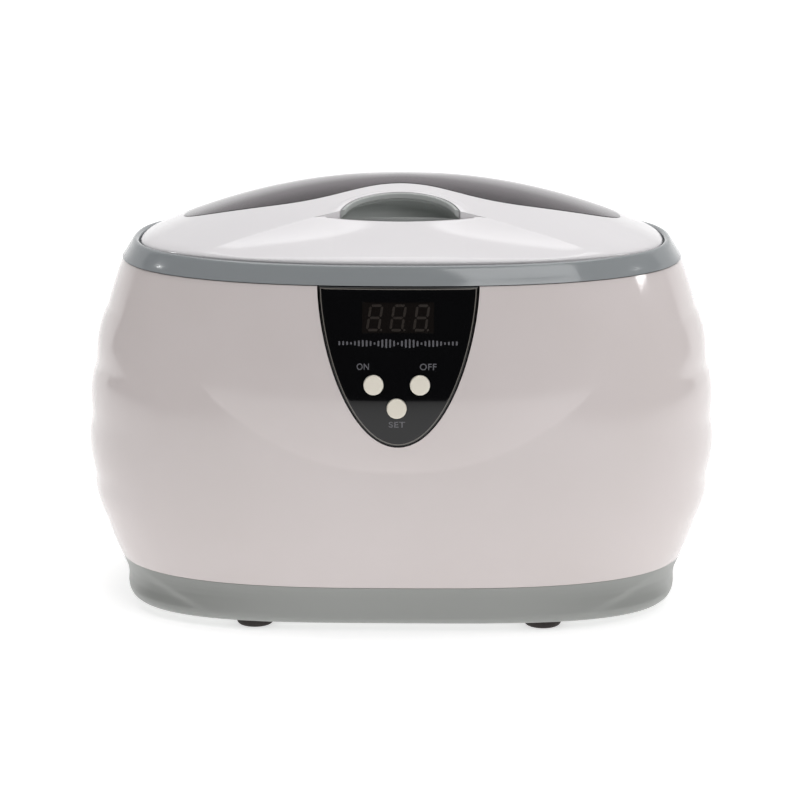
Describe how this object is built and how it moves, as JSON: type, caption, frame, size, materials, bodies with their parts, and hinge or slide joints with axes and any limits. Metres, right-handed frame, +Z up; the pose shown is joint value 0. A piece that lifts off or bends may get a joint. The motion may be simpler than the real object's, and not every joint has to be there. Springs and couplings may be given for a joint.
{
  "type": "ultrasonic cleaner",
  "caption": "Benchtop ultrasonic cleaner for jewellery: barrel-shaped housing with a steel tank under a hinged lid with a smoked window and a black control panel.",
  "frame": {"origin": "under the middle of the machine, at the level that its feet stand on", "axes": "+X to the right across the width, the front with its panel faces -Y, +Z up"},
  "size_m": [0.2098, 0.1477, 0.1391],
  "materials": {
    "white_abs": "glossy moulded ABS, warm white",
    "collar_abs": "moulded ABS, blue grey, soft gloss",
    "base_abs": "moulded ABS, grey, satin",
    "grip_abs": "moulded ABS, light grey, satin",
    "smoked_window": "smoked polycarbonate, glossy, transparent",
    "panel_black": "piano black acrylic",
    "display_lens": "dark smoked acrylic",
    "button_abs": "off-white moulded ABS",
    "foot_rubber": "moulded rubber",
    "stainless": "pressed stainless steel",
    "screw_steel": "zinc-plated steel",
    "silicone": "cured silicone",
    "horn_aluminium": "turned aluminium",
    "piezo_ceramic": "fired piezo ceramic, silvered",
    "electrode_copper": "beryllium copper sheet",
    "circuit_board": "glass-epoxy board with green mask",
    "black_package": "moulded epoxy",
    "capacitor_sleeve": "shrink sleeve on an aluminium can",
    "film_yellow": "dipped epoxy",
    "ferrite": "pressed ferrite",
    "winding_copper": "enamelled copper wire",
    "sink_aluminium": "extruded aluminium",
    "fuse_glass": "glass tube fuse",
    "nylon": "moulded nylon",
    "inlet_black": "moulded nylon, black",
    "pin_brass": "plated brass",
    "black_lead": "PVC sleeve",
    "red_lead": "silicone sleeve",
    "grey_lead": "PVC sleeve"
  },
  "bodies": {
    "housing": {"front_shell": "white_abs", "rear_shell": "white_abs", "base_tray": "base_abs", "collar_ring": "collar_abs", "foot_front_left": "foot_rubber", "foot_front_right": "foot_rubber", "foot_rear_left": "foot_rubber", "foot_rear_right": "foot_rubber", "hinge_pin_left": "screw_steel", "hinge_pin_right": "screw_steel", "fascia_panel": "panel_black", "display_lens": "display_lens", "tank": "stainless", "tank_gasket": "silicone", "transducer_horn": "horn_aluminium", "piezo_upper": "piezo_ceramic", "piezo_lower": "piezo_ceramic", "electrode_upper": "electrode_copper", "electrode_lower": "electrode_copper", "transducer_back_mass": "screw_steel", "transducer_bolt": "screw_steel", "driver_board": "circuit_board", "bulk_capacitor": "capacitor_sleeve", "film_capacitor": "film_yellow", "inductor_core": "ferrite", "inductor_winding": "winding_copper", "heat_sink": "sink_aluminium", "power_transistor_left": "black_package", "power_transistor_right": "black_package", "fuse": "fuse_glass", "lead_connector": "nylon", "board_screw_near": "screw_steel", "board_screw_far": "screw_steel", "shell_screw_front_left": "screw_steel", "shell_screw_front_right": "screw_steel", "shell_screw_rear_left": "screw_steel", "shell_screw_rear_right": "screw_steel", "control_board": "circuit_board", "display_module": "black_package", "switch_on": "black_package", "switch_off": "black_package", "switch_set": "black_package", "mains_inlet": "inlet_black", "inlet_pin_left": "pin_brass", "inlet_pin_right": "pin_brass", "mains_lead": "black_lead", "transducer_lead": "red_lead", "control_lead": "grey_lead"},
    "lid": {"lid_frame": "white_abs", "lid_window": "smoked_window", "lid_grip": "grip_abs"},
    "on_button": {"button_on": "button_abs"},
    "off_button": {"button_off": "button_abs"},
    "set_button": {"button_set": "button_abs"}
  },
  "joints": [
    {"name": "lid_hinge", "type": "hinge", "parent": "housing", "child": "lid", "pos_m": [0, 0.0665, 0.1224], "axis": [-1, 0, 0], "range_deg": [0, 100]},
    {"name": "button_on_press", "type": "slide", "parent": "housing", "child": "on_button", "axis": [0, 0.9945, -0.1045], "range_m": [0, 0.0006], "stiffness_N_per_m": 600},
    {"name": "button_off_press", "type": "slide", "parent": "housing", "child": "off_button", "axis": [0, 0.9945, -0.1045], "range_m": [0, 0.0006], "stiffness_N_per_m": 600},
    {"name": "button_set_press", "type": "slide", "parent": "housing", "child": "set_button", "axis": [0, 0.9945, -0.1045], "range_m": [0, 0.0006], "stiffness_N_per_m": 600}
  ]
}
